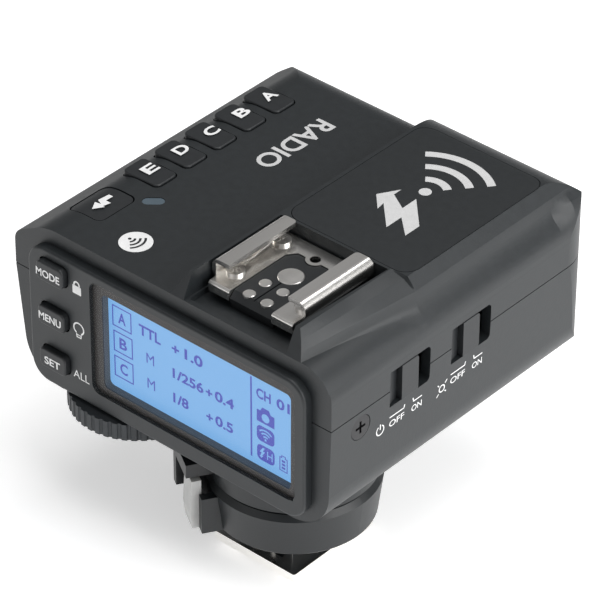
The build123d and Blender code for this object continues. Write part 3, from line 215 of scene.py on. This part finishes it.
# ---------------------------------------------------------------- finishes
def finish(name, colour, roughness, grain=1500, depth=0.02, mottle=0.08, stretch=(1, 1, 1), **sockets):
    """A finish on Object coordinates: a fine noise moves the colour by the mottle share and the
    roughness a little, and a second, finer one raises the surface by depth millimetres."""
    material = bpy.data.materials.get(name) or bpy.data.materials.new(name)
    material.use_nodes = True
    nodes, links = material.node_tree.nodes, material.node_tree.links
    nodes.clear()
    output = nodes.new("ShaderNodeOutputMaterial")
    shader = nodes.new("ShaderNodeBsdfPrincipled")
    links.new(shader.outputs["BSDF"], output.inputs["Surface"])
    place = nodes.new("ShaderNodeTexCoord")
    turn = nodes.new("ShaderNodeMapping")
    turn.inputs["Scale"].default_value = stretch
    links.new(place.outputs["Object"], turn.inputs["Vector"])
    clouds = nodes.new("ShaderNodeTexNoise")
    clouds.inputs["Scale"].default_value = grain * 0.3
    clouds.inputs["Detail"].default_value = 3
    links.new(turn.outputs["Vector"], clouds.inputs["Vector"])
    tint = nodes.new("ShaderNodeValToRGB")
    tint.color_ramp.elements[0].position, tint.color_ramp.elements[1].position = 0.3, 0.7
    base = np.array(colour)
    tint.color_ramp.elements[0].color = (*np.clip(base * (1 - mottle), 0, 1), 1)
    tint.color_ramp.elements[1].color = (*np.clip(base * (1 + mottle), 0, 1), 1)
    links.new(clouds.outputs["Fac"], tint.inputs["Fac"])
    links.new(tint.outputs["Color"], shader.inputs["Base Color"])
    spread = nodes.new("ShaderNodeMapRange")
    spread.inputs["To Min"].default_value = max(roughness - 0.05, 0.02)
    spread.inputs["To Max"].default_value = min(roughness + 0.05, 1)
    links.new(clouds.outputs["Fac"], spread.inputs["Value"])
    links.new(spread.outputs["Result"], shader.inputs["Roughness"])
    if depth:
        grains = nodes.new("ShaderNodeTexNoise")
        grains.inputs["Scale"].default_value = grain
        grains.inputs["Detail"].default_value = 2
        links.new(turn.outputs["Vector"], grains.inputs["Vector"])
        bump = nodes.new("ShaderNodeBump")
        bump.inputs["Strength"].default_value = 0.5
        bump.inputs["Distance"].default_value = depth * MM
        links.new(grains.outputs["Fac"], bump.inputs["Height"])
        links.new(bump.outputs["Normal"], shader.inputs["Normal"])
    for socket, value in sockets.items():
        shader.inputs[socket.replace("_", " ")].default_value = value
    return material


def lit(material, colour, strength):
    """The same finish with its own light."""
    shader = next(n for n in material.node_tree.nodes if n.type == "BSDF_PRINCIPLED")
    shader.inputs["Emission Color"].default_value = (*colour, 1)
    shader.inputs["Emission Strength"].default_value = strength
    return material


class FinishSettings(bpy.types.PropertyGroup):
    """Colours of the trigger's main finishes."""

    housing: bpy.props.FloatVectorProperty(
        name="Housing", description="Moulded housing plastic", subtype="COLOR",
        default=(0.0120, 0.0148, 0.0168),
    )
    keys: bpy.props.FloatVectorProperty(
        name="Keys", description="Keys and slide knobs", subtype="COLOR",
        default=(0.0125, 0.0145, 0.0165),
    )
    nickel: bpy.props.FloatVectorProperty(
        name="Nickel", description="Plated shoe and contacts", subtype="COLOR",
        default=(0.92, 0.90, 0.87),
    )
    print_white: bpy.props.FloatVectorProperty(
        name="Print", description="White of the printed legends", subtype="COLOR",
        default=(0.80, 0.80, 0.80),
    )
    display_blue: bpy.props.FloatVectorProperty(
        name="Display", description="Lit ground of the display", subtype="COLOR",
        default=(0.198, 0.440, 0.791),
    )
    display_ink: bpy.props.FloatVectorProperty(
        name="Display figures", description="Dark figures of the display", subtype="COLOR",
        default=(0.055, 0.070, 0.42),
    )


class LegendSettings(bpy.types.PropertyGroup):
    """Sizes of the printed legends."""

    lift: bpy.props.FloatProperty(
        name="Print lift", description="Height of the print above its face, in millimetres",
        default=0.02, min=0.005, max=0.1,
    )
    line: bpy.props.FloatProperty(
        name="Line width", description="Width of the drawn lines, in millimetres",
        default=0.3, min=0.1, max=0.6,
    )
    display_line: bpy.props.FloatProperty(
        name="Display line width", description="Width of the display's lines, in millimetres",
        default=0.34, min=0.1, max=0.6,
    )


class StageSettings(bpy.types.PropertyGroup):
    """Camera and lights."""

    lens: bpy.props.FloatProperty(
        name="Lens", description="Focal length on a 36 mm wide sensor, in millimetres", default=241.95
    )
    key_power: bpy.props.FloatProperty(
        name="Key light", description="Power of the soft box on the right", default=3.4, subtype="POWER"
    )
    top_power: bpy.props.FloatProperty(
        name="Top light", description="Power of the soft box overhead", default=3.2, subtype="POWER"
    )
    fill_power: bpy.props.FloatProperty(
        name="Fill light", description="Power of the soft box behind the display side",
        default=0.6, subtype="POWER",
    )


def material(name):
    """A finish made by the finishes operator."""
    found = bpy.data.materials.get(name)
    if found is None:
        raise RuntimeError(f"no finish named {name}: run the finishes first")
    return found


class TRIGGER_OT_finishes(bpy.types.Operator):
    """Make every finish and put it on the frame's nodes by their material slots"""

    bl_idname = "trigger.finishes"
    bl_label = "Finishes"

    def execute(self, context):
        s = context.scene.trigger_finish
        housing, keys, nickel = (np.array(c[:]) for c in (s.housing, s.keys, s.nickel))
        finish("housing_plastic", housing, 0.46, 2200, 0.03, 0.10)
        finish("panel_plastic", housing * 0.85, 0.45, 2600, 0.015, 0.08)
        finish("fascia_plastic", housing * 1.05, 0.46, 2400, 0.015, 0.08)
        finish("key_plastic", keys, 0.48, 2400, 0.015, 0.10)
        finish("ring_plastic", housing * 0.8, 0.42, 2200, 0.02, 0.10)
        finish("mask_ink", (0.034, 0.031, 0.030), 0.45, 900, 0, 0.05)
        finish("clear_window", (0.02, 0.02, 0.02), 0.08, 300, 0, 0.02, Alpha=0.06)
        finish("well_plastic", (0.13, 0.13, 0.125), 0.6, 1500, 0.01, 0.06)
        glass = finish("lcd_glass", (0.006, 0.008, 0.01), 0.45, 400, 0, 0.05)
        lit(glass, s.display_blue, 1.0)
        finish("backlight_plastic", (0.75, 0.8, 0.85), 0.4, 600, 0, 0.03)
        finish("shoe_nickel", nickel, 0.24, 900, 0.004, 0.05, (1, 0.08, 1), Metallic=1.0)
        finish("contact_nickel", nickel * 0.92, 0.30, 1500, 0.004, 0.06, Metallic=1.0)
        finish("foot_metal", nickel * 1.05, 0.22, 900, 0.004, 0.05, (0.08, 1, 1), Metallic=1.0)
        finish("bright_screw", nickel * 0.8, 0.32, 1800, 0.004, 0.08, Metallic=1.0)
        finish("screw_steel", (0.03, 0.03, 0.032), 0.35, 1800, 0.006, 0.12, Metallic=0.6)
        finish("terminal_metal", nickel * 0.9, 0.32, 1500, 0.004, 0.06, Metallic=1.0)
        finish("radio_can", nickel * 0.85, 0.35, 1200, 0.004, 0.06, Metallic=1.0)
        finish("contact_plastic", keys * 0.8, 0.45, 1800, 0.01, 0.08)
        finish("foot_plastic", keys * 0.7, 0.35, 1800, 0.01, 0.08)
        finish("lever_plastic", (0.52, 0.52, 0.51), 0.45, 1600, 0.01, 0.05)
        finish("dial_rubber", keys * 2.2, 0.55, 2000, 0.03, 0.12)
        finish("light_lens", (0.075, 0.105, 0.13), 0.3, 800, 0.01, 0.08, Coat_Weight=0.4)
        finish("lamp_red", (0.12, 0.004, 0.006), 0.12, 500, 0, 0.05, Coat_Weight=0.8)
        finish("board_green", (0.01, 0.08, 0.03), 0.35, 1500, 0.01, 0.15)
        finish("component_plastic", (0.03, 0.03, 0.032), 0.5, 1500, 0.01, 0.1)
        finish("cell_sleeve", (0.05, 0.13, 0.08), 0.3, 900, 0.004, 0.06, Coat_Weight=0.5)
        finish("cradle_plastic", keys, 0.55, 1500, 0.02, 0.1)
        finish("antenna_ceramic", (0.55, 0.54, 0.5), 0.4, 1500, 0.01, 0.06)
        finish("print_white", s.print_white, 0.55, 2600, 0.008, 0.04)
        finish("print_silver", np.array(s.print_white) * 0.72, 0.5, 2600, 0.008, 0.04)
        ink = finish("display_figures", np.array(s.display_ink) * 0.2, 0.4, 900, 0, 0.05)
        lit(ink, s.display_ink, 0.95)
        ground = finish("display_ground", (0.006, 0.008, 0.01), 0.45, 900, 0, 0.05)
        lit(ground, s.display_blue, 1.0)
        for part in frame["record"]["subparts"]:
            node = frame["nodes"][part["node"]]
            node.data.materials.clear()
            node.data.materials.append(material(part["material_slot"]))
        return {"FINISHED"}


# ---------------------------------------------------------------- legends
def padlock(centre, size):
    """A closed padlock: a square body under a half-round shackle."""
    x, y = centre
    w, h = size
    body = plate(box_outline((x, y - h * 0.17), (w, h * 0.62), 0.15))
    shackle = ribbon(
        np.vstack(
            [[(x - w * 0.3, y + h * 0.1)], arc((x, y + h * 0.2), (w * 0.3, h * 0.24), 180, 0, 16),
             [(x + w * 0.3, y + h * 0.1)]]
        ),
        w * 0.17,
    )
    return [body, shackle]


def bulb(centre, size, line):
    """A lamp bulb: an open circle above a narrow collar."""
    x, y = centre
    w, h = size
    glass = ribbon(arc((x, y + h * 0.14), (w / 2, h * 0.36), -62, 242, 40), line)
    collar = ribbon([(x - w * 0.24, y - h * 0.22), (x - w * 0.2, y - h * 0.45), (x + w * 0.2, y - h * 0.45),
                     (x + w * 0.24, y - h * 0.22)], line * 0.8)
    waist = ribbon([(x - w * 0.2, y - h * 0.30), (x + w * 0.2, y - h * 0.30)], line * 0.6)
    return [glass, collar, waist]


def bolt(centre, size):
    """A flash bolt with an arrow head at its lower end."""
    outline = np.array(
        [(0.10, 0.50), (-0.38, 0.02), (-0.08, 0.02), (-0.26, -0.30), (-0.42, -0.30), (-0.10, -0.50),
         (0.16, -0.24), (0.00, -0.27), (0.42, 0.16), (0.10, 0.16), (0.40, 0.50)]
    )
    return plate(outline * np.asarray(size) + np.asarray(centre))


def radio_waves(centre, radius, line, arcs=3, spread=48, heading=90):
    """A generic radio mark: a dot with rings of growing radius over it."""
    rings = [
        ribbon(arc(centre, (radius * k / arcs,) * 2, heading - spread, heading + spread, 18), line)
        for k in range(1, arcs + 1)
    ]
    return [plate(arc(centre, (line * 0.75,) * 2, 0, 345, 20))] + rings


class TRIGGER_OT_rear_legends(bpy.types.Operator):
    """Print the words and icons beside the display and on the rear keys"""

    bl_idname = "trigger.rear_legends"
    bl_label = "Rear legends"

    def execute(self, context):
        s = context.scene.trigger_legend
        white = material("print_white")
        words = {"mode": (-39.1, 46.0, 5.5), "menu": (-39.0, 36.85, 5.2), "set": (-38.8, 27.65, 3.7)}
        for name, (x, z, width) in words.items():
            printed(f"legend_{name}", [word(name.upper(), (x, z), (width, 1.55))], KEY_FACE, s.lift,
                    f"{name}_key", white)
        icons = padlock((-33.45, 45.5), (2.0, 2.75)) + bulb((-33.3, 36.6), (2.3, 3.1), s.line)
        icons.append(word("ALL", (-33.05, 27.05), (3.7, 1.6), 0))
        printed("legend_icons", icons, REAR_FACE, s.lift, "root", white)
        return {"FINISHED"}


class TRIGGER_OT_top_legends(bpy.types.Operator):
    """Print the group letters, the flash arrow, the radio disc and the panel's mark"""

    bl_idname = "trigger.top_legends"
    bl_label = "Top legends"

    def execute(self, context):
        s = context.scene.trigger_legend
        white, silver = material("print_white"), material("print_silver")
        for letter, y in {"a": 38.9, "b": 31.8, "c": 23.9, "d": 16.2, "e": 8.3}.items():
            shape = word(letter.upper(), (y, 40.6), (2.9, 2.5), 0.03)
            key = f"group_key_{letter}"
            printed(f"legend_group_{letter}", [shape], GROUP_FACE, s.lift, key, white)
        arrow = plate(np.array(FLASH_ARROW)[:, ::-1] * (-1, 1))
        printed("legend_test", [arrow], TOP_FACE, s.lift + 0.2, "test_key", white)
        disc = plate(arc((8.8, -27.8), (2.95, 2.95), 0, 355, 72))
        printed("legend_radio_disc", [disc], TOP_FACE, s.lift, "root", white)
        waves = radio_waves((8.8, -29.2), 2.7, 0.42, 3, 46)
        dark = material("key_plastic")
        printed("legend_radio_waves", waves, TOP_FACE, 2 * s.lift, "root", dark)
        name = word("RADIO", (-31.0, -27.6), (17.6, 4.2), 0.02)
        printed("legend_name", [name], TOP_FACE, s.lift, "root", silver)
        mark = [bolt((-22.4, 3.1), (12.0, 11.5))] + radio_waves((-29.6, 3.1), 11.4, 1.5, 3, 40, 180)
        printed("legend_flash_mark", mark, PANEL_FACE, s.lift, "root", silver)
        return {"FINISHED"}


class TRIGGER_OT_side_legends(bpy.types.Operator):
    """Print the on and off words, their brackets, and the power and lamp icons beside the slide switches"""

    bl_idname = "trigger.side_legends"
    bl_label = "Side legends"

    def execute(self, context):
        s = context.scene.trigger_legend
        line = s.line * 0.75
        shapes = []
        for start in (0.0, SWITCH_PITCH):
            shapes.append(word("OFF", (start + 1.0, 35.15), (3.8, 1.25), 0.005))
            shapes.append(word("ON", (start + 6.1, 35.15), (2.6, 1.25), 0.005))
            off_run = [(start - 0.9, 36.62), (start + 2.75, 36.62), (start + 2.95, 37.3)]
            on_run = [(start + 5.05, 37.4), (start + 5.25, 36.62), (start + 7.4, 36.62)]
            shapes += [ribbon(off_run, line), ribbon(on_run, line)]
        power = (-3.2, 35.35)
        shapes.append(ribbon(arc(power, (0.92, 0.95), 118, 422, 36), line))
        shapes.append(ribbon([(power[0], power[1] + 0.1), (power[0], power[1] + 1.25)], line))
        lamp = (12.65, 35.0)
        shapes.append(ribbon(arc(lamp, (0.68, 0.68), 0, 350, 32), line, closed=True))
        for angle, reach in ((45, 1.85), (135, 1.6), (225, 1.85), (315, 1.6)):
            way = np.array([np.cos(np.radians(angle)), np.sin(np.radians(angle))])
            shapes.append(ribbon([lamp + way * 1.12, lamp + way * reach], line))
        white = material("print_white")
        printed("legend_switches", shapes, SIDE_FACE, s.lift, "root", white)
        return {"FINISHED"}


class TRIGGER_OT_display(bpy.types.Operator):
    """Draw what the lit display shows: group boxes, power figures, channel and status icons"""

    bl_idname = "trigger.display"
    bl_label = "Display"

    def execute(self, context):
        s = context.scene.trigger_legend
        line = s.display_line
        dark = []
        for letter, x, z in (("A", -25.3, 41.7), ("B", -25.15, 36.45), ("C", -25.1, 31.2)):
            frame_line = [(x - 2.1, z - 2.05), (x + 2.1, z - 2.05), (x + 2.1, z + 2.05), (x - 2.1, z + 2.05)]
            dark.append(ribbon(frame_line, line * 0.75, closed=True))
            dark.append(word(letter, (x, z), (1.75, 2.3), 0.025))
        figures = [
            ("TTL", -18.9, 41.7, 5.0, 2.2), ("+", -13.05, 41.45, 1.7, 1.5), ("1.0", -8.95, 41.6, 4.1, 2.2),
            ("M", -18.9, 36.45, 1.75, 2.1), ("1/256", -10.3, 36.3, 7.0, 2.1), ("+", -5.55, 36.2, 1.5, 1.4),
            ("0.4", -2.1, 36.4, 4.3, 2.1), ("M", -18.8, 31.25, 1.75, 2.1), ("1/8", -12.0, 31.15, 3.5, 2.1),
            ("+", -5.5, 31.1, 1.5, 1.4), ("0.5", -2.2, 31.25, 4.0, 2.1), ("CH", 6.6, 41.8, 3.2, 2.1),
            ("01", 10.9, 41.8, 2.9, 2.1),
        ]
        for text, x, z, w, h in figures:
            dark.append(word(text, (x, z), (w, h), 0.0 if text == "M" else 0.03))
        dark.append(ribbon([(3.85, 44.4), (3.9, 27.9)], line * 1.1))
        camera_body = [(5.1, 38.4), (5.9, 38.4), (6.3, 39.2), (7.8, 39.2), (8.2, 38.4), (9.0, 38.4),
                       (9.0, 36.0), (5.1, 36.0)]
        dark.append(plate(camera_body))
        dark.append(plate(box_outline((7.05, 33.7), (3.9, 3.2), 0.9)))
        dark.append(plate(box_outline((7.1, 29.75), (3.9, 3.2), 0.9)))
        cell_case = [(10.2, 28.3), (11.8, 28.3), (11.8, 31.0), (11.4, 31.0), (11.4, 31.4), (10.6, 31.4),
                     (10.6, 31.0), (10.2, 31.0)]
        dark.append(ribbon(cell_case, line * 0.6, closed=True))
        dark += [plate(box_outline((11.0, z), (0.8, 0.45), 0.1)) for z in (28.95, 29.65, 30.35)]
        ink, ground = material("display_figures"), material("display_ground")
        printed("display_figures", dark, DISPLAY_FACE, s.lift, "root", ink)
        light = [plate(arc((7.05, 37.25), (0.85, 0.85), 0, 350, 30))]
        light += radio_waves((7.05, 32.75), 1.9, 0.3, 3, 44)
        light.append(bolt((6.3, 29.75), (1.5, 2.3)))
        light.append(word("H", (8.0, 29.75), (1.2, 1.7), 0))
        printed("display_lights", light, DISPLAY_FACE, 2 * s.lift, "root", ground)
        low, high = (np.array(corner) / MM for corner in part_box("display_lens"))
        centre, size = (low + high)[[0, 2]] / 2, (high - low)[[0, 2]]
        pane = plate(box_outline(centre, size, 1.8))
        clear = material("clear_window")
        window = printed("display_window", [pane], REAR_FACE, -0.02, "root", clear)
        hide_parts("display_lens")
        return {"FINISHED"}


# ---------------------------------------------------------------- stage
class TRIGGER_OT_stage(bpy.types.Operator):
    """Set the camera, the soft boxes and the pale floor"""

    bl_idname = "trigger.stage"
    bl_label = "Stage"

    def execute(self, context):
        s = context.scene.trigger_stage
        scene = context.scene
        lens = bpy.data.cameras.new("camera")
        lens.lens, lens.sensor_width, lens.clip_start = s.lens, 36, 0.01
        camera = bpy.data.objects.new("camera", lens)
        scene.collection.objects.link(camera)
        right = Vector((0.74993507, 0.66150253, 0.00343432))
        up = Vector((-0.39143944, 0.43957167, 0.80842558))
        back = Vector((0.53326593, -0.60761102, 0.58858839))
        turn = Matrix((right, up, back)).transposed().to_4x4()
        camera.matrix_world = Matrix.Translation((0.356661, -0.405130, 0.442653)) @ turn
        scene.camera = camera

        floor_mesh = bpy.data.meshes.new("floor")
        low = float(cad_box[0].z) - 0.0001
        floor_mesh.from_pydata([(-3, -3, low), (3, -3, low), (3, 3, low), (-3, 3, low)], [], [(0, 1, 2, 3)])
        floor = bpy.data.objects.new("floor", floor_mesh)
        scene.collection.objects.link(floor)
        paper = finish("floor_paper", (0.92, 0.92, 0.92), 0.9, 40, 0, 0.01)
        floor_mesh.materials.append(lit(paper, (1, 1, 1), 0.45))

        world = bpy.data.worlds.new("studio")
        world.use_nodes = True
        ground = world.node_tree.nodes["Background"]
        ground.inputs["Color"].default_value = (1, 1, 1, 1)
        ground.inputs["Strength"].default_value = 0.25
        scene.world = world
        scene.view_settings.view_transform = "Standard"

        boxes = [
            ("key_light", (0.55, 0.10, 0.30), 0.45, s.key_power),
            ("top_light", (0.05, 0.15, 0.70), 0.55, s.top_power),
            ("fill_light", (-0.15, -0.70, 0.35), 0.50, s.fill_power),
        ]
        aim = Vector((-0.01, 0.02, 0.035))
        for name, place, size, power in boxes:
            lamp = bpy.data.lights.new(name, "AREA")
            lamp.shape, lamp.size, lamp.energy = "SQUARE", size, power
            made = bpy.data.objects.new(name, lamp)
            made.location = place
            made.rotation_euler = (aim - Vector(place)).to_track_quat("-Z", "Y").to_euler()
            scene.collection.objects.link(made)
        return {"FINISHED"}


OPERATORS = (
    TRIGGER_OT_stage,
    TRIGGER_OT_finishes,
    TRIGGER_OT_rear_legends,
    TRIGGER_OT_top_legends,
    TRIGGER_OT_side_legends,
    TRIGGER_OT_display,
)


class TRIGGER_PT_panel(bpy.types.Panel):
    """Sizes and colours, and a button for each group of pieces"""

    bl_idname = "TRIGGER_PT_panel"
    bl_label = "Flash trigger"
    bl_space_type = "VIEW_3D"
    bl_region_type = "UI"
    bl_category = "Flash trigger"

    def draw(self, context):
        column = self.layout.column()
        scene = context.scene
        for settings in (scene.trigger_finish, scene.trigger_legend, scene.trigger_stage):
            for name in settings.__annotations__:
                column.prop(settings, name)
        for operator in OPERATORS:
            column.operator(operator.bl_idname)


CLASSES = (FinishSettings, LegendSettings, StageSettings, *OPERATORS, TRIGGER_PT_panel)


def register():
    for kind in CLASSES:
        bpy.utils.register_class(kind)
    bpy.types.Scene.trigger_finish = bpy.props.PointerProperty(type=FinishSettings)
    bpy.types.Scene.trigger_legend = bpy.props.PointerProperty(type=LegendSettings)
    bpy.types.Scene.trigger_stage = bpy.props.PointerProperty(type=StageSettings)


def unregister():
    del bpy.types.Scene.trigger_stage, bpy.types.Scene.trigger_legend, bpy.types.Scene.trigger_finish
    for kind in reversed(CLASSES):
        bpy.utils.unregister_class(kind)


def main():
    register()
    for operator in OPERATORS:
        group, name = operator.bl_idname.split(".")
        getattr(getattr(bpy.ops, group), name)()


if __name__ == "__main__":
    main()
